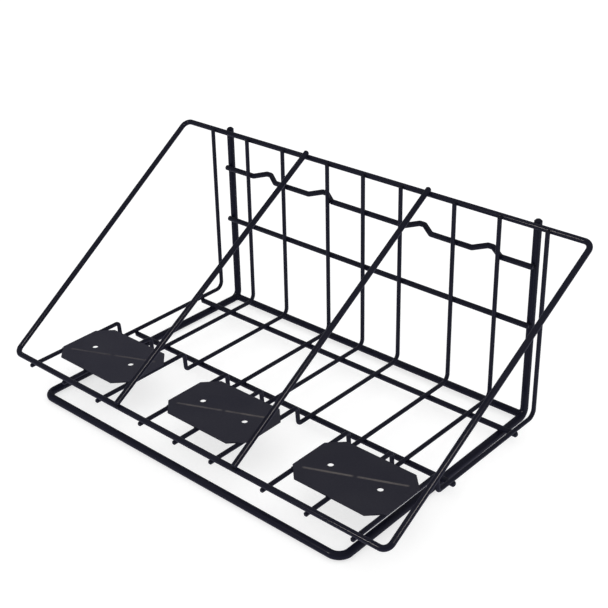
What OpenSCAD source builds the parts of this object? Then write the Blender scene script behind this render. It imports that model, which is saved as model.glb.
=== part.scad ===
// Plastic bag holder: a welded wire rack for a checkout counter.
// X = 0 is the middle of the rack, Y = 0 the plane behind its uprights,
// Z = 0 the counter it stands on. The open front faces -Y.

/* [Steel stock] */
// Diameter of the thick rod of the base frame
frame_d = 9.2; // [9:0.1:11]
// Diameter of the crossbar between the feet of the uprights
crossbar_d = 8.8; // [7:0.1:9]
// Diameter of the medium rod of the rails and the sloping loop
rod_d = 6.8; // [5:0.2:7.2]
// Diameter of the thin grid wire
wire_d = 5.2; // [4:0.2:5.6]
// Thickness of the bag plates
plate_t = 1.5; // [1:0.25:3]

/* [Base frame] */
// Distance between the middles of the two uprights
upright_pitch = 465; // [450:1:470]
// Distance between the middles of the side bars where they meet the front bar
front_pitch = 469; // [450:1:475]
// Height of the upright tips above the counter
upright_top = 254; // [245:1:260]
// Depth from the rear plane to the middle of the front bar
base_depth = 339; // [325:1:350]
// Bend radius at the foot of each upright
foot_bend_r = 10.5; // [9:0.5:14]
// Bend radius at the two front corners
front_bend_r = 14; // [10:1:30]
// Where the crossbar meets the foot bend, in degrees round from the floor
crossbar_turn = 36; // [20:1:60]

/* [Sloping loop] */
// Height of the top edge of the loop
loop_top_z = 249.2; // [242:0.2:250]
// Depth of the bottom edge of the loop
loop_bottom_y = 341; // [334:0.5:344]
// Reach of the loop's upper left corner from the middle
loop_top_left = 307; // [290:1:315]
// Reach of the loop's upper right corner from the middle
loop_top_right = 303; // [290:1:315]
// Reach of the loop's lower left corner from the middle
loop_bottom_left = 282; // [275:1:300]
// Reach of the loop's lower right corner from the middle
loop_bottom_right = 293; // [275:1:300]
// Bend radius at the loop's corners
loop_bend_r = 9.5; // [8:0.5:20]

/* [Bays] */
// How far the three bays sit to the right of the middle
bay_offset = 2; // [0:0.5:4]
// Distance between the middles of neighbouring bays
bay_pitch = 191; // [186:0.5:196]
// Wire spacing in the left bay
left_wire_pitch = 61.4; // [55:0.2:63]
// Wire spacing in the centre bay
centre_wire_pitch = 56; // [50:1:65]
// Wire spacing in the right bay
right_wire_pitch = 59.8; // [55:0.2:63]
// Distance of each divider rod from the middle of the centre bay
divider_reach = 92.5; // [85:0.5:100]

/* [Grid wires] */
// Bend radius where a wire turns from the back to the floor
heel_bend_r = 10; // [6:1:12]
// Bend radius at the foot and the head of the step
step_bend_r = 4.5; // [4:0.5:7]
// Depth of the foot of the step near the front
step_y = 203.5; // [198:0.5:212]
// How far the step leans forward on its way up
step_lean = 1.6; // [0:0.2:6]
// Height of the step
step_rise = 22.6; // [18:0.2:28]

/* [Rails and floor rods] */
// Height of the bumped hanging rail
hanging_rail_z = 200; // [180:1:215]
// Height of the straight back rail
back_rail_z = 126.6; // [100:0.2:150]
// Length of both rails
rail_length = 470; // [466:1:476]
// Depth of the rear floor rod
rear_rod_y = 55.6; // [45:0.2:80]
// Depth of the front floor rod
front_rod_y = 176; // [150:0.5:190]
// Length of both floor rods
floor_rod_length = 507; // [505:1:520]
// Distance of the inner two rail bumps from the middle of the row
inner_bump_x = 75; // [70:0.5:85]
// Distance of the outer two rail bumps from the middle of the row
outer_bump_x = 170; // [160:1:175]

/* [Bag plates] */
// Width of a bag plate
plate_w = 127.5; // [120:0.5:132]
// Depth of a bag plate
plate_l = 86; // [80:1:95]
// Size of the cut corners of a bag plate
plate_corner = 17.5; // [8:0.5:22]
// Depth of the middle of the bag plates
plate_y = 267.6; // [262:0.2:275]
// How far a plate sits to the right of the middle wire of its bay
plate_shift = 1.2; // [0:0.2:3]
// Diameter of the two holes in a bag plate
hole_d = 7; // [4:0.5:8]
// Distance between the two holes in a bag plate
hole_pitch = 66; // [50:1:80]

/* [Hidden] */
$fn = 48;
// A rod's free ends are chamfered by this share of its diameter
chamfer_share = 0.2;
// A rod is this much fatter in its bends, and its legs reach this far into them
bend_swell = 0.03;
bend_lap = 0.4;
upright_x = upright_pitch / 2;
frame_r = frame_d / 2;
// The rods are stacked in touching layers, from the rear plane forward
rail_y = -frame_d - rod_d / 2;
back_wire_y = rail_y - rod_d / 2 - wire_d / 2;
// and from the counter up
floor_rod_z = frame_d + rod_d / 2;
floor_wire_z = floor_rod_z + rod_d / 2 + wire_d / 2;
front_wire_z = floor_wire_z + step_rise;
plate_z = front_wire_z + wire_d / 2;
loop_bottom_z = plate_z + rod_d / 2;
// The crossbar meets both foot bends on their centreline
crossbar_y = frame_r + foot_bend_r * (1 - sin(crossbar_turn));
crossbar_z = frame_r + foot_bend_r * (1 - cos(crossbar_turn));
// Directions within the plane of the sloping loop
slope_top = [0, rail_y, loop_top_z];
slope_bottom = [0, -loop_bottom_y, loop_bottom_z];
slope_dir = (slope_bottom - slope_top) / norm(slope_bottom - slope_top);
slope_normal = cross([1, 0, 0], -slope_dir);
// The dividers pass the top edge by a little and stop on the bottom edge
divider_overrun = 3.5;
// The grid wires end level with the front of the loop's bottom edge
// and stop a little above the middle of its top edge
wire_front_y = -loop_bottom_y - rod_d / 2;
wire_top_z = loop_top_z + 1;
// The rail bumps reach back to the rear plane and rise a little on the way
bump_offset = 4;
bump_shift = [0, frame_d, 4];
bump_base = 38.2;
bump_flat = 6.8;
bump_bend_r = 4;
// The crease of a plate is a low round ridge in two parts,
// from the front left to the rear right
crease_reach = 57;
crease_angle = 24;
crease_gap = 6;
crease_r = 0.9;
crease_rise = 0.5;

steel = [0.12, 0.13, 0.15];
plate_steel = [0.17, 0.175, 0.2];

function unit(v) = v / norm(v);
wire_pitch = [left_wire_pitch, centre_wire_pitch, right_wire_pitch];
function bay_x(bay) = bay_offset + (bay - 1) * bay_pitch;
function wire_x(bay, step) = bay_x(bay) + (step - 1) * wire_pitch[bay];

// Places its children with their Z axis along dir and their X axis along side
module along(origin, side, dir) {
  other = cross(dir, side);
  multmatrix([
    [side.x, other.x, dir.x, origin.x],
    [side.y, other.y, dir.y, origin.y],
    [side.z, other.z, dir.z, origin.z]
  ])
  children();
}

// Any unit vector square to v
function square_to(v) =
  abs(v.z) > 0.9 ? unit(cross(v, [1, 0, 0])) : unit(cross(v, [0, 0, 1]));

// Straight round leg between two points. A free end is chamfered;
// an end that isn't free reaches into the bend that follows it.
module leg(from, to, d, free_from, free_to) {
  dir = unit(to - from);
  chamfer = chamfer_share * d;
  start = free_from ? chamfer : -bend_lap;
  finish = norm(to - from) + (free_to ? -chamfer : bend_lap);
  along(from, square_to(dir), dir) {
    translate([0, 0, start])
      cylinder(h = finish - start, d = d);
    if (free_from)
      cylinder(h = chamfer, d1 = d - 2 * chamfer, d2 = d);
    if (free_to)
      translate([0, 0, finish])
        cylinder(h = chamfer, d1 = d, d2 = d - 2 * chamfer);
  }
}

// Length a bend of radius r takes off each leg at the corner a, b, c
function bend_trim(a, b, c, r) =
  r * tan(acos(unit(b - a) * unit(c - b)) / 2);

// Round bend of radius r at the corner b between the legs a-b and b-c
module bend(a, b, c, d, r) {
  u = unit(b - a);
  v = unit(c - b);
  inward = unit(v - u * (u * v));
  start = b - u * bend_trim(a, b, c, r);
  along(start + inward * r, -inward, cross(u, inward))
    rotate_extrude(angle = acos(u * v))
      translate([r, 0])
        circle(d = d + 2 * bend_swell);
}

// Round bar bent through the points p, with bend radius r[i] at point p[i]
module open_bar(p, d, r) {
  last = len(p) - 1;
  function trim(i) =
    i == 0 || i == last ? 0 : bend_trim(p[i - 1], p[i], p[i + 1], r[i]);
  for (i = [0:last - 1]) {
    dir = unit(p[i + 1] - p[i]);
    leg(p[i] + dir * trim(i), p[i + 1] - dir * trim(i + 1), d,
      i == 0, i == last - 1);
  }
  for (i = [1:last - 1])
    bend(p[i - 1], p[i], p[i + 1], d, r[i]);
}

// Round bar bent into a closed loop through the points p
module closed_bar(p, d, r) {
  n = len(p);
  for (i = [0:n - 1]) {
    a = p[i];
    b = p[(i + 1) % n];
    c = p[(i + 2) % n];
    z = p[(i + n - 1) % n];
    dir = unit(b - a);
    leg(a + dir * bend_trim(z, a, b, r), b - dir * bend_trim(a, b, c, r),
      d, false, false);
    bend(a, b, c, d, r);
  }
}

// Corner points on the right-hand side of the base frame, from the top down
frame_points = [
  [upright_x, -frame_r, upright_top],
  [upright_x, -frame_r, frame_r],
  [front_pitch / 2, -base_depth, frame_r]
];

function mirrored(p) = [-p.x, p.y, p.z];

// One thick rod: left upright, left side, front bar, right side, right upright
module base_frame() {
  f = frame_points;
  color(steel)
    open_bar([mirrored(f[0]), mirrored(f[1]), mirrored(f[2]), f[2], f[1], f[0]],
      frame_d, [0, foot_bend_r, front_bend_r, front_bend_r, foot_bend_r, 0]);
}

// Bar welded between the feet of the uprights, its ends coped to their bends
module back_crossbar() {
  f = frame_points;
  color(steel)
    difference() {
      translate([-upright_x, -crossbar_y, crossbar_z])
        rotate([0, 90, 0])
          cylinder(h = upright_pitch, d = crossbar_d);
      bend(f[0], f[1], f[2], frame_d, foot_bend_r);
      mirror([1, 0, 0])
        bend(f[0], f[1], f[2], frame_d, foot_bend_r);
    }
}

// Closed loop that slopes from the uprights down to the front of the grid
module slope_frame() {
  color(steel)
    closed_bar([
      slope_top - [loop_top_left, 0, 0],
      slope_top + [loop_top_right, 0, 0],
      slope_bottom + [loop_bottom_right, 0, 0],
      slope_bottom - [loop_bottom_left, 0, 0]
    ], rod_d, loop_bend_r);
}

// Rod lying on the loop between two bays
module divider_rod(side) {
  base = [bay_offset + side * divider_reach, 0, 0] + slope_normal * rod_d;
  color(steel)
    leg(base + slope_top - slope_dir * divider_overrun,
      base + slope_bottom, rod_d, true, true);
}

// The four corner points of one bump of the hanging rail
function bump_points(x) = [
  [x - bump_base / 2, rail_y, hanging_rail_z],
  [x - bump_flat / 2, rail_y, hanging_rail_z] + bump_shift,
  [x + bump_flat / 2, rail_y, hanging_rail_z] + bump_shift,
  [x + bump_base / 2, rail_y, hanging_rail_z]
];

// Rail with four bumps bent back to the rear plane
module hanging_rail() {
  half = rail_length / 2;
  points = concat(
    [[-half, rail_y, hanging_rail_z]],
    bump_points(bump_offset - outer_bump_x),
    bump_points(bump_offset - inner_bump_x),
    bump_points(bump_offset + inner_bump_x),
    bump_points(bump_offset + outer_bump_x),
    [[half, rail_y, hanging_rail_z]]
  );
  color(steel)
    open_bar(points, rod_d, [for (p = points) bump_bend_r]);
}

// Straight rod across the rack, its middle at x
module cross_rod(x, length, y, z) {
  color(steel)
    leg([x - length / 2, y, z], [x + length / 2, y, z], rod_d, true, true);
}

// Grid wire: down the back, forward along the floor, up a step and forward
module grid_wire(bay, step) {
  x = wire_x(bay, step);
  color(steel)
    open_bar([
      [x, back_wire_y, wire_top_z],
      [x, back_wire_y, floor_wire_z],
      [x, -step_y, floor_wire_z],
      [x, -step_y - step_lean, front_wire_z],
      [x, wire_front_y, front_wire_z]
    ], wire_d, [0, heel_bend_r, step_bend_r, step_bend_r, 0]);
}

// One half of the crease: a low round ridge from the gap out to the edge
module crease_half() {
  translate([crease_gap / 2, 0, plate_t + crease_rise - crease_r])
    rotate([0, 90, 0])
      cylinder(h = crease_reach - crease_gap / 2, r = crease_r);
}

// Plate with cut corners, lying on the three raised wires of a bay
module bag_plate(bay) {
  w = plate_w / 2;
  l = plate_l / 2;
  k = plate_corner;
  color(plate_steel)
    translate([bay_x(bay) + plate_shift, -plate_y, plate_z]) {
      difference() {
        linear_extrude(height = plate_t)
          polygon([
            [-w + k, -l], [w - k, -l], [w, -l + k], [w, l - k],
            [w - k, l], [-w + k, l], [-w, l - k], [-w, -l + k]
          ]);
        for (side = [-1, 1])
          translate([side * hole_pitch / 2, 0, -1])
            cylinder(h = plate_t + 2, d = hole_d);
      }
      for (turn = [0, 180])
        rotate([0, 0, crease_angle + turn])
          crease_half();
    }
}

module divider_rod_left() { divider_rod(-1); }
module divider_rod_right() { divider_rod(1); }
module back_rail() { cross_rod(0, rail_length, rail_y, back_rail_z); }
module floor_rod(y) { cross_rod(bay_offset, floor_rod_length, -y, floor_rod_z); }
module floor_rod_rear() { floor_rod(rear_rod_y); }
module floor_rod_front() { floor_rod(front_rod_y); }
module grid_wire_1() { grid_wire(0, 0); }
module grid_wire_2() { grid_wire(0, 1); }
module grid_wire_3() { grid_wire(0, 2); }
module grid_wire_4() { grid_wire(1, 0); }
module grid_wire_5() { grid_wire(1, 1); }
module grid_wire_6() { grid_wire(1, 2); }
module grid_wire_7() { grid_wire(2, 0); }
module grid_wire_8() { grid_wire(2, 1); }
module grid_wire_9() { grid_wire(2, 2); }
module bag_plate_left() { bag_plate(0); }
module bag_plate_centre() { bag_plate(1); }
module bag_plate_right() { bag_plate(2); }

base_frame();
back_crossbar();
slope_frame();
divider_rod_left();
divider_rod_right();
hanging_rail();
back_rail();
floor_rod_rear();
floor_rod_front();
grid_wire_1();
grid_wire_2();
grid_wire_3();
grid_wire_4();
grid_wire_5();
grid_wire_6();
grid_wire_7();
grid_wire_8();
grid_wire_9();
bag_plate_left();
bag_plate_centre();
bag_plate_right();
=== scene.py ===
"""Looks of a welded wire bag holder: powder coat, welds, floor, light and camera."""

import math

import bmesh
import bpy
from mathutils import Matrix, Vector, noise


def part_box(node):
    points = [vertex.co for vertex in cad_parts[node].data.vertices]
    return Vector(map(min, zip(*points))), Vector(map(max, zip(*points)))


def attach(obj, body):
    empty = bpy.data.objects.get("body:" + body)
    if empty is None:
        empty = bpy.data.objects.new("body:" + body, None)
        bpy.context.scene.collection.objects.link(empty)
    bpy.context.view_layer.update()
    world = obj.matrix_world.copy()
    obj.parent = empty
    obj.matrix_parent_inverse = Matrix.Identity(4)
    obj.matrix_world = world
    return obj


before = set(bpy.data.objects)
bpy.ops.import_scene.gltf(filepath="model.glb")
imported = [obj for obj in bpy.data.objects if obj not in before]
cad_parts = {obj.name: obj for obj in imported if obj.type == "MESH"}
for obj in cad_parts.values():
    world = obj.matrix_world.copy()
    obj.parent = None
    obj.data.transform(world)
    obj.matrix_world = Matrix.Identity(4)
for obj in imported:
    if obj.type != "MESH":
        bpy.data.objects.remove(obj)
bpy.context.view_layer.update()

MM = 0.001
X = Vector((1, 0, 0))
Y = Vector((0, 1, 0))
Z = Vector((0, 0, 1))

WIRES = ["grid_wire_%d" % n for n in range(1, 10)]
WIRES_PER_BAY = 3
PLATES = ["bag_plate_left", "bag_plate_centre", "bag_plate_right"]
BASE = ("base_frame", "back_crossbar")
DIVIDERS = ("divider_rod_left", "divider_rod_right")
FLOOR_RODS = ("floor_rod_rear", "floor_rod_front")
BODY = "root"


# ---------------------------------------------------------------- sizes

def low(node):
    return Vector(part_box(node)[0])


def high(node):
    return Vector(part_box(node)[1])


def mid(node):
    return (low(node) + high(node)) / 2


def points_of(node):
    return [vertex.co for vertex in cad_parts[node].data.vertices]


WIRE_R = (high(WIRES[0]).x - low(WIRES[0]).x) / 2
ROD_R = (high("back_rail").z - low("back_rail").z) / 2
FRAME_R = low("floor_rod_rear").z / 2
BAR_R = (high("back_crossbar").z - low("back_crossbar").z) / 2

RAIL_Y = mid("back_rail").y
BACK_RAIL_Z = mid("back_rail").z
HANGING_Z = low("hanging_rail").z + ROD_R
FLOOR_ROD_Z = mid("floor_rod_rear").z
FRONT_WIRE_Z = low(PLATES[0]).z - WIRE_R
LOOP_TOP = Vector((0, RAIL_Y, high("slope_frame").z - ROD_R))
LOOP_FOOT = Vector((0, low("slope_frame").y + ROD_R, FRONT_WIRE_Z + WIRE_R + ROD_R))
SLOPE = (LOOP_FOOT - LOOP_TOP).normalized()
SLOPE_UP = X.cross(-SLOPE)

# Vertices this near a node's end or side are taken to lie on it
TIP_BAND = 5 * MM
EDGE_BAND = 0.1 * MM
# Slope of the uprights' foot bends where the crossbar meets them
FOOT_SLOPE = math.radians(36)


def upright_x(side):
    """Middle of one upright, read from the vertices near its tip."""
    tip = high("base_frame").z - TIP_BAND
    xs = [co.x for co in points_of("base_frame") if co.z > tip and co.x * side > 0]
    return (min(xs) + max(xs)) / 2


def side_bar_x(side, y):
    """Middle of one side bar at depth y; the bars splay a little to the front."""
    back = upright_x(side)
    front = side * (high("base_frame").x - FRAME_R)
    share = (y + FRAME_R) / (low("base_frame").y + 2 * FRAME_R)
    return back + (front - back) * share


def crease_of(plate):
    """Middle, direction, inner and outer reach of the low ridge on a plate."""
    crest = high(plate).z - EDGE_BAND
    ridge = [co for co in points_of(plate) if co.z > crest]
    left = min(ridge, key=lambda co: co.x)
    right = max(ridge, key=lambda co: co.x)
    centre = (left + right) / 2
    inner = min((co - centre).length for co in ridge)
    reach = (right - left).length / 2
    return centre, (right - left).normalized(), inner, reach


def edge_trim(plate, x):
    """How far a plate's cut corner moves its front and back edges in at x."""
    side = high(plate).x - EDGE_BAND
    straight = max(co.y for co in points_of(plate) if co.x > side)
    corner = high(plate).y - straight
    half = high(plate).x - mid(plate).x
    return max(0, corner - (half - abs(x - mid(plate).x)))


# ---------------------------------------------------------------- node helpers

def new_material(name):
    mat = bpy.data.materials.new(name)
    mat.use_nodes = True
    mat.node_tree.nodes.clear()
    return mat


def add(tree, kind, **values):
    """Adds a shader node and sets its attributes, or its inputs by name."""
    node = tree.nodes.new(kind)
    for key, value in values.items():
        if hasattr(node, key):
            setattr(node, key, value)
        else:
            node.inputs[key.replace("_", " ")].default_value = value
    return node


def noise_of(tree, coords, scale, detail=3.0, rough=0.5):
    tex = add(tree, "ShaderNodeTexNoise", Scale=scale, Detail=detail, Roughness=rough)
    tree.links.new(coords, tex.inputs["Vector"])
    return tex.outputs["Fac"]


def remap(tree, value, a, b, c, d):
    """Maps value from the range a..b to the range c..d, clamped."""
    node = add(tree, "ShaderNodeMapRange", clamp=True)
    for slot, number in zip(range(1, 5), (a, b, c, d)):
        node.inputs[slot].default_value = number
    tree.links.new(value, node.inputs[0])
    return node.outputs[0]


def mix_colour(tree, share, first, second):
    node = tree.nodes.new("ShaderNodeMix")
    node.data_type = "RGBA"
    for slot, source in ((0, share), (6, first), (7, second)):
        if isinstance(source, (tuple, float)):
            node.inputs[slot].default_value = source
        else:
            tree.links.new(source, node.inputs[slot])
    return node.outputs[2]


def product(tree, *factors):
    """Multiplies node outputs together; all but the first may be numbers."""
    result = factors[0]
    for factor in factors[1:]:
        node = add(tree, "ShaderNodeMath", operation="MULTIPLY")
        tree.links.new(result, node.inputs[0])
        if isinstance(factor, float):
            node.inputs[1].default_value = factor
        else:
            tree.links.new(factor, node.inputs[1])
        result = node.outputs[0]
    return result


def distance_along(tree, position, centre, direction):
    """Distance of a point from centre, measured along direction, without sign."""
    offset = add(tree, "ShaderNodeVectorMath", operation="SUBTRACT")
    tree.links.new(position, offset.inputs[0])
    offset.inputs[1].default_value = centre
    dot = add(tree, "ShaderNodeVectorMath", operation="DOT_PRODUCT")
    tree.links.new(offset.outputs["Vector"], dot.inputs[0])
    dot.inputs[1].default_value = direction
    size = add(tree, "ShaderNodeMath", operation="ABSOLUTE")
    tree.links.new(dot.outputs["Value"], size.inputs[0])
    return size.outputs[0]


def output_surface(tree, shader):
    out = tree.nodes.new("ShaderNodeOutputMaterial")
    tree.links.new(shader.outputs[0], out.inputs["Surface"])


# ---------------------------------------------------------------- powder coat

ROD_TONES = ((0.003, 0.0034, 0.0138, 1), (0.0042, 0.0047, 0.0158, 1))
ROD_DUST = (0.013, 0.0135, 0.024, 1)
PLATE_TONES = ((0.0197, 0.0194, 0.0337, 1), (0.0222, 0.0217, 0.0363, 1))
PLATE_DUST = (0.027, 0.0265, 0.039, 1)
# Painted light and shade: each plate's colour is made paler or darker, palest on the left
PLATE_PAINTED_LIGHT = dict(zip(PLATES, (1.2, 1.06, 0.97)))

# Painted highlight: a pale colour laid in a band along each plate's crease
PAINTED_CREASE_HIGHLIGHT = (0.115, 0.103, 0.1, 1)
CREASE_BAND = 1.8 * MM
CREASE_FADE = 2 * MM
CREASE_OVERRUN = 1 * MM
# How strong the painted crease highlight is on each plate
CREASE_HIGHLIGHT_STRENGTH = dict(zip(PLATES, (0.5, 0.8, 0.95)))

# Sizes of the noises, as repeats per metre
CLOUD_SCALE = 22.0
CREASE_BREAKUP_SCALE = 60.0
RUB_SCALE = 95.0
GRAIN_SCALE = 420.0

RUB_SHARE = 0.35
CLEAR_ROUGHNESS = 0.12
PEEL_STRENGTH = 0.5


def painted_crease_highlight(tree, geometry, facing_up, plate, coords):
    """Share of painted highlight: a soft pale band along the crease, broken in the
    middle.
    """
    centre, direction, inner, reach = crease_of(plate)
    position = geometry.outputs["Position"]
    across = distance_along(tree, position, centre, direction.cross(Z))
    along = distance_along(tree, position, centre, direction)
    return product(
        tree,
        remap(tree, across, 0.4 * CREASE_BAND, 1.2 * CREASE_BAND, 1, 0),
        remap(tree, along, inner - CREASE_FADE, inner + CREASE_OVERRUN, 0, 1),
        remap(tree, along, reach - CREASE_FADE, reach + CREASE_OVERRUN, 1, 0),
        remap(tree, facing_up, 0, 0.3, 0, 1),
        remap(tree, noise_of(tree, coords, CREASE_BREAKUP_SCALE), 0.35, 0.6, 0.6, 1.0),
        CREASE_HIGHLIGHT_STRENGTH[plate])


def coat_colour(tree, coords, cloud, tones, dust, plate):
    """Cloudy black with dust on whatever faces up, small rubs and a painted highlight
    along the crease.
    """
    geometry = add(tree, "ShaderNodeNewGeometry")
    split = tree.nodes.new("ShaderNodeSeparateXYZ")
    tree.links.new(geometry.outputs["Normal"], split.inputs[0])
    facing_up = split.outputs["Z"]
    upward = remap(tree, facing_up, 0.35, 1.0, 0.0, 1.0)
    dusty = product(tree, upward, remap(tree, cloud, 0.35, 0.75, 0.15, 0.55))
    speckle = noise_of(tree, coords, RUB_SCALE, detail=6.0, rough=0.65)
    rubs = remap(tree, speckle, 0.66, 0.74, 0.0, 1.0)

    colour = mix_colour(tree, remap(tree, cloud, 0.3, 0.7, 0.0, 1.0), *tones)
    colour = mix_colour(tree, dusty, colour, dust)
    colour = mix_colour(tree, product(tree, rubs, RUB_SHARE), colour, dust)
    # The crease gets a painted highlight, a pale band mixed into the colour
    if plate is not None:
        crease_highlight = painted_crease_highlight(tree, geometry, facing_up, plate, coords)
        colour = mix_colour(tree, crease_highlight, colour, PAINTED_CREASE_HIGHLIGHT)
    return colour


def coat_roughness(tree, coords, cloud, rough):
    """Cloudy gloss with a fine grain."""
    grain = noise_of(tree, coords, GRAIN_SCALE, detail=2.0)
    total = add(tree, "ShaderNodeMath", operation="ADD")
    cloudy = remap(tree, cloud, 0.3, 0.7, rough - 0.05, rough + 0.07)
    tree.links.new(cloudy, total.inputs[0])
    tree.links.new(remap(tree, grain, 0.3, 0.7, -0.03, 0.05), total.inputs[1])
    return total.outputs[0]


def orange_peel(tree, coords, scale, height):
    peel = noise_of(tree, coords, scale, detail=2.0)
    bump = add(tree, "ShaderNodeBump", Strength=PEEL_STRENGTH, Distance=height)
    tree.links.new(peel, bump.inputs["Height"])
    return bump.outputs["Normal"]


def powder_coat(name, tones, dust, rough, gloss, clear, peel, peel_height, plate=None):
    """Black powder coat; the crease of a plate, if one is given, gets a painted pale
    highlight.
    """
    mat = new_material(name)
    tree = mat.node_tree
    coords = tree.nodes.new("ShaderNodeTexCoord").outputs["Object"]
    cloud = noise_of(tree, coords, CLOUD_SCALE, detail=4.0)
    shader = add(tree, "ShaderNodeBsdfPrincipled", Specular_IOR_Level=gloss)
    shader.inputs["Coat Weight"].default_value = clear
    shader.inputs["Coat Roughness"].default_value = CLEAR_ROUGHNESS
    sources = {
        "Base Color": coat_colour(tree, coords, cloud, tones, dust, plate),
        "Roughness": coat_roughness(tree, coords, cloud, rough),
        "Normal": orange_peel(tree, coords, peel, peel_height),
    }
    for slot, source in sources.items():
        tree.links.new(source, shader.inputs[slot])
    output_surface(tree, shader)
    return mat


def rod_coat():
    return powder_coat("satin_rod_coat", ROD_TONES, ROD_DUST, rough=0.5, gloss=0.12,
                       clear=0.8, peel=1500.0, peel_height=0.1 * MM)


def frame_coat():
    return powder_coat("satin_frame_coat", ROD_TONES, ROD_DUST, rough=0.52, gloss=0.12,
                       clear=0.6, peel=1300.0, peel_height=0.1 * MM)


def weld_coat():
    return powder_coat("coated_weld", ROD_TONES, ROD_DUST, rough=0.45, gloss=0.3,
                       clear=0.5, peel=900.0, peel_height=0.25 * MM)


def plate_coat(plate):
    """Matte coat, made paler or darker for each plate as painted light and shade."""
    def painted_light_tone(colour):
        return tuple(part * PLATE_PAINTED_LIGHT[plate] for part in colour[:3]) + (1,)

    tones = [painted_light_tone(tone) for tone in PLATE_TONES]
    return powder_coat("matte_coat_" + plate, tones, painted_light_tone(PLATE_DUST), rough=0.6,
                       gloss=0.3, clear=0.1, peel=1100.0, peel_height=0.14 * MM,
                       plate=plate)


def dress(node, mat):
    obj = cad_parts[node]
    for slot in obj.material_slots:
        slot.material = mat
    if not obj.material_slots:
        obj.data.materials.append(mat)


def dress_rack():
    coats = {plate: plate_coat(plate) for plate in PLATES}
    coats.update(dict.fromkeys(BASE, frame_coat()))
    rods = rod_coat()
    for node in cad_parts:
        dress(node, coats.get(node, rods))


dress_rack()
WELD_COAT = weld_coat()


# ---------------------------------------------------------------- weld shapes

# A saddle weld is a wall of this many columns and rows, drawn in at its middle
SADDLE_SPOKES = 28
SADDLE_ROWS = 7
SADDLE_WAIST = 0.3
SADDLE_WAVER = 0.16
SADDLE_DETAIL = 1.7
# It bites this far into both rods
BITE = 0.25 * MM
# Past this share of its radius, a rod's surface is taken to drop no further
SIDE_LIMIT = 0.96
# Reach of a saddle weld, as a share of the rods' radii
WIDE = 0.95
SNUG = 0.9
CLOSE = 0.85
NARROW = 0.7

# Weld heap where a wire comes out from under a plate
HEAP_LENGTH = 5 * MM
HEAP_WIDTH = 3.6 * MM
HEAP_HEIGHT = 1.8 * MM
HEAP_ROWS = 8
HEAP_SIDES = 10
HEAP_WAVER = 0.18
HEAP_DETAIL = 3
# The heap's blunt ends are as wide as it is at this share of its length
HEAP_BLUNT = 0.06

# Ring of weld round each end of the crossbar
RING_STEPS = 48
RING_SIDES = 10
RING_R = 1.1 * MM
RING_WAVER = 0.2

# The noise is read at a weld's place times one of these, so that no two are alike
SADDLE_SEED = 431.0
HEAP_SEED = 613.0
RING_SEED = 500.0


def turns(count):
    return [2 * math.pi * k / count for k in range(count)]


def sag(radius, offset):
    """How far a rod's surface has dropped at this offset from its crest."""
    reach = min(abs(offset), SIDE_LIMIT * radius)
    return radius - math.sqrt(radius ** 2 - reach ** 2)


def saddle_weld(bm, contact, upper_dir, upper_axis, upper_r, lower_r, reach):
    """Fillet round the point where an upper rod lies square across a lower one.

    upper_dir points from the lower rod to the upper one. The wall of the fillet
    runs from the lower rod's surface to the upper rod's.
    """
    across = upper_axis.cross(upper_dir).normalized()
    seed = contact * SADDLE_SEED
    columns = []
    for turn in turns(SADDLE_SPOKES):
        a, b = math.cos(turn), math.sin(turn)
        radius = 1 / math.hypot(a / (reach * upper_r), b / (reach * lower_r))
        waver = noise.noise(seed + Vector((a, b, 0)) * SADDLE_DETAIL)
        radius *= 1 + SADDLE_WAVER * waver
        x, y = radius * a, radius * b
        foot = -sag(lower_r, y) - BITE
        head = sag(upper_r, x) + BITE
        column = []
        for row in range(SADDLE_ROWS):
            s = row / (SADDLE_ROWS - 1)
            draw = 1 - SADDLE_WAIST * math.sin(math.pi * s)
            place = across * (x * draw) + upper_axis * (y * draw)
            place += upper_dir * (foot + (head - foot) * s)
            column.append(bm.verts.new(contact + place))
        columns.append(column)
    close_columns(bm, columns, contact - upper_dir * BITE, contact + upper_dir * BITE)


def close_columns(bm, columns, start, end):
    """Skins a ring of columns of points and closes both ends with a fan."""
    first, last = bm.verts.new(start), bm.verts.new(end)
    for k, a in enumerate(columns):
        b = columns[(k + 1) % len(columns)]
        for row in range(len(a) - 1):
            bm.faces.new((a[row], b[row], b[row + 1], a[row + 1]))
        bm.faces.new((first, b[0], a[0]))
        bm.faces.new((last, a[-1], b[-1]))


def heap_weld(bm, centre):
    """Small heap of weld lying along Y where a wire leaves a plate's edge."""
    seed = centre * HEAP_SEED
    rows = []
    for i in range(HEAP_ROWS + 1):
        s = i / HEAP_ROWS
        row = []
        for turn in turns(HEAP_SIDES):
            swell = math.sin(math.pi * min(max(s, HEAP_BLUNT), 1 - HEAP_BLUNT))
            waver = noise.noise(seed + Vector((s * HEAP_DETAIL, turn, 0)))
            swell *= 1 + HEAP_WAVER * waver
            place = Y * ((s - 0.5) * HEAP_LENGTH)
            place += X * (math.cos(turn) * HEAP_WIDTH / 2 * swell)
            place += Z * (math.sin(turn) * HEAP_HEIGHT / 2 * swell)
            row.append(bm.verts.new(centre + place))
        rows.append(row)
    end = Y * (HEAP_LENGTH / 2)
    close_columns(bm, list(zip(*rows)), centre - end, centre + end)


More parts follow.
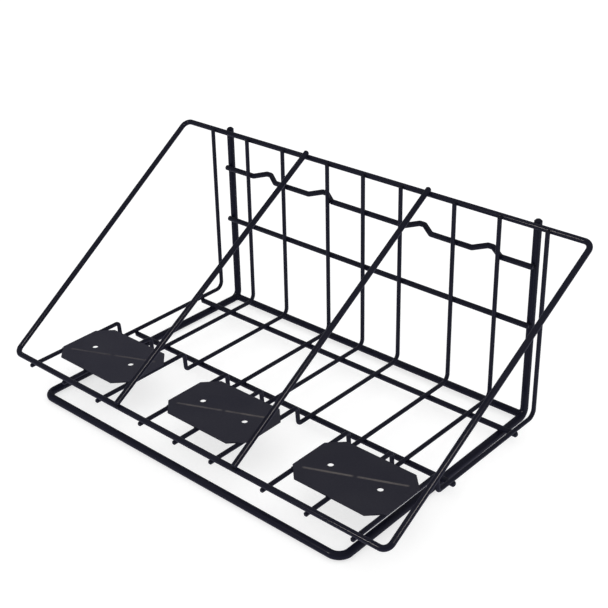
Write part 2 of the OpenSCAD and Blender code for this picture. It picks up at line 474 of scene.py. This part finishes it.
def ring_weld(bm, side):
    """Ring of weld where the crossbar's coped end meets the foot of an upright."""
    bar = mid("back_crossbar")
    post = upright_x(side)
    bend_dir = Y * math.cos(FOOT_SLOPE) + Z * math.sin(FOOT_SLOPE)
    square = X.cross(bend_dir)
    loops = []
    for turn in turns(RING_STEPS):
        radial = bend_dir * math.cos(turn) + square * math.sin(turn)
        offset = BAR_R * math.sin(turn)
        x = post - side * math.sqrt(FRAME_R ** 2 - offset ** 2)
        place = Vector((x, bar.y, bar.z)) + radial * BAR_R
        fat = RING_R * (1 + RING_WAVER * noise.noise(place * RING_SEED))
        loops.append([
            bm.verts.new(place + (radial * math.cos(t) + X * math.sin(t)) * fat)
            for t in turns(RING_SIDES)])
    for k, a in enumerate(loops):
        b = loops[(k + 1) % RING_STEPS]
        for j in range(RING_SIDES):
            n = (j + 1) % RING_SIDES
            bm.faces.new((a[j], a[n], b[n], b[j]))


def finish_mesh(bm, name):
    """Turns a bmesh into a smooth weld piece that rides with the rack."""
    bmesh.ops.recalc_face_normals(bm, faces=bm.faces)
    mesh = bpy.data.meshes.new(name)
    bm.to_mesh(mesh)
    bm.free()
    for face in mesh.polygons:
        face.use_smooth = True
    obj = bpy.data.objects.new(name, mesh)
    obj.data.materials.append(WELD_COAT)
    bpy.context.scene.collection.objects.link(obj)
    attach(obj, BODY)


# ---------------------------------------------------------------- welds

# A rail is looked at this far to both sides of a wire for a bump
BUMP_REACH = 14 * MM
TOUCH_GAP = 0.3 * MM


def touches(rail, x):
    """Whether a rail runs straight behind the wire at x, within its ends."""
    points = points_of(rail)
    xs = [co.x for co in points]
    if not min(xs) < x < max(xs):
        return False
    near = [co for co in points if abs(co.x - x) < BUMP_REACH]
    return all(abs(co.y - RAIL_Y) < ROD_R + TOUCH_GAP for co in near)


def back_welds():
    bm = bmesh.new()
    front = RAIL_Y - ROD_R
    for wire in WIRES:
        x = mid(wire).x
        for rail, z in (("back_rail", BACK_RAIL_Z), ("hanging_rail", HANGING_Z)):
            if touches(rail, x):
                saddle_weld(bm, Vector((x, front, z)), -Y, Z, WIRE_R, ROD_R, WIDE)
        top = Vector((x, front, LOOP_TOP.z))
        saddle_weld(bm, top, -Y, Z, WIRE_R, ROD_R, NARROW)
    for side in (-1, 1):
        for z in (BACK_RAIL_Z, HANGING_Z, LOOP_TOP.z):
            place = Vector((upright_x(side), RAIL_Y + ROD_R, z))
            saddle_weld(bm, place, Y, Z, FRAME_R, ROD_R, CLOSE)
    finish_mesh(bm, "back_welds")


def floor_welds():
    bm = bmesh.new()
    for rod in FLOOR_RODS:
        y = mid(rod).y
        for wire in WIRES:
            place = Vector((mid(wire).x, y, FLOOR_ROD_Z + ROD_R))
            saddle_weld(bm, place, Z, Y, WIRE_R, ROD_R, WIDE)
        for side in (-1, 1):
            place = Vector((side_bar_x(side, y), y, FLOOR_ROD_Z - ROD_R))
            saddle_weld(bm, place, -Z, Y, FRAME_R, ROD_R, CLOSE)
    finish_mesh(bm, "floor_welds")


def loop_welds():
    bm = bmesh.new()
    for wire in WIRES:
        place = Vector((mid(wire).x, LOOP_FOOT.y, LOOP_FOOT.z - ROD_R))
        saddle_weld(bm, place, Z, X, ROD_R, WIRE_R, SNUG)
    for rod in DIVIDERS:
        for end in (LOOP_TOP, LOOP_FOOT):
            place = Vector((mid(rod).x, end.y, end.z)) + SLOPE_UP * ROD_R
            saddle_weld(bm, place, SLOPE_UP, SLOPE, ROD_R, ROD_R, CLOSE)
    finish_mesh(bm, "loop_welds")


def plate_welds():
    bm = bmesh.new()
    for n, wire in enumerate(WIRES):
        plate = PLATES[n // WIRES_PER_BAY]
        x = mid(wire).x
        trim = edge_trim(plate, x)
        for y in (low(plate).y + trim, high(plate).y - trim):
            heap_weld(bm, Vector((x, y, low(plate).z)))
    finish_mesh(bm, "plate_welds")


def crossbar_welds():
    bm = bmesh.new()
    for side in (-1, 1):
        ring_weld(bm, side)
    finish_mesh(bm, "crossbar_welds")


back_welds()
floor_welds()
loop_welds()
plate_welds()
crossbar_welds()


# ---------------------------------------------------------------- stage

FLOOR_HALF = 12.0
FLOOR_DROP = 0.2 * MM
FLOOR_CLOUD_SCALE = 3.0
FLOOR_TONES = ((0.455, 0.455, 0.455, 1), (0.47, 0.47, 0.47, 1))
# The floor glows, so that the shadows stay light
FLOOR_GLOW = 1.4
# Floor and surround are dim where the gloss of the rods mirrors them
FLOOR_IN_GLOSS = (0.11, 0.11, 0.14, 1)
SURROUND = 1.0
SURROUND_IN_GLOSS = 0.12

STREAK_TINT = (1.0, 0.93, 0.88)


def glossy_ray(tree):
    return tree.nodes.new("ShaderNodeLightPath").outputs["Is Glossy Ray"]


def floor_material():
    """Pale matte floor, seen as a darker one in the gloss of the rods."""
    mat = new_material("pale_floor")
    tree = mat.node_tree
    coords = tree.nodes.new("ShaderNodeTexCoord").outputs["Object"]
    tone = remap(tree, noise_of(tree, coords, FLOOR_CLOUD_SCALE), 0.3, 0.7, 0.0, 1.0)
    base = mix_colour(tree, tone, *FLOOR_TONES)
    base = mix_colour(tree, glossy_ray(tree), base, FLOOR_IN_GLOSS)
    shader = add(tree, "ShaderNodeBsdfPrincipled", Roughness=0.75, Specular_IOR_Level=0.2,
                 Emission_Strength=FLOOR_GLOW)
    tree.links.new(base, shader.inputs["Base Color"])
    tree.links.new(base, shader.inputs["Emission Color"])
    output_surface(tree, shader)
    return mat


def floor():
    mesh = bpy.data.meshes.new("floor")
    signs = ((-1, -1), (1, -1), (1, 1), (-1, 1))
    mesh.from_pydata([(FLOOR_HALF * a, FLOOR_HALF * b, 0) for a, b in signs], [],
                     [(0, 1, 2, 3)])
    obj = bpy.data.objects.new("floor", mesh)
    obj.location.z = -FLOOR_DROP
    obj.data.materials.append(floor_material())
    bpy.context.scene.collection.objects.link(obj)


def softbox(name, place, target, size, power, nodes):
    """Round soft light that draws a thin highlight on the given nodes only."""
    data = bpy.data.lights.new(name, "AREA")
    data.shape = "DISK"
    data.size = size
    data.energy = power
    data.color = STREAK_TINT
    obj = bpy.data.objects.new(name, data)
    obj.location = place
    aim = Vector(target) - Vector(place)
    obj.rotation_euler = aim.to_track_quat("-Z", "Y").to_euler()
    bpy.context.scene.collection.objects.link(obj)
    lit = bpy.data.collections.new(name + "_lit")
    for node in nodes:
        lit.objects.link(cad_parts[node])
    obj.light_linking.receiver_collection = lit


def studio_world():
    """Even white surround that is much dimmer in reflections than in diffuse light."""
    world = bpy.data.worlds.new("studio")
    world.use_nodes = True
    tree = world.node_tree
    sky = tree.nodes["Background"]
    sky.inputs["Color"].default_value = (1, 1, 1, 1)
    strength = remap(tree, glossy_ray(tree), 0, 1, SURROUND, SURROUND_IN_GLOSS)
    tree.links.new(strength, sky.inputs["Strength"])
    bpy.context.scene.world = world
    bpy.context.scene.view_settings.view_transform = "Standard"


def lights():
    softbox("right_above", place=(1.75, -0.68, 1.66), target=(0.2, -0.27, 0.1),
            size=0.4, power=5, nodes=("slope_frame",) + DIVIDERS)
    softbox("front_left", place=(-0.78, -1.82, 1.29), target=(0.27, -0.34, 0.05),
            size=0.25, power=2.6, nodes=["slope_frame"])
    softbox("front_corner", place=(-0.7, -1.84, 1.29), target=(0.23, -0.34, 0),
            size=0.2, power=5, nodes=["base_frame"])


def camera():
    """Camera at the picture's viewing angle; the lens is shifted a little."""
    data = bpy.data.cameras.new("camera")
    data.sensor_width = 36.0
    data.lens = 71.48
    data.shift_x = 0.0312
    data.shift_y = -0.0474
    place = Vector((0.8377, -1.0536, 0.7915))
    right = Vector((0.7394, 0.6728, -0.0256)).normalized()
    ahead = Vector((-0.6092, 0.6524, -0.4509)).normalized()
    up = right.cross(ahead).normalized()
    turn = Matrix((right, up, -ahead)).transposed()
    obj = bpy.data.objects.new("camera", data)
    obj.matrix_world = Matrix.Translation(place) @ turn.to_4x4()
    bpy.context.scene.collection.objects.link(obj)
    bpy.context.scene.camera = obj


floor()
studio_world()
lights()
camera()
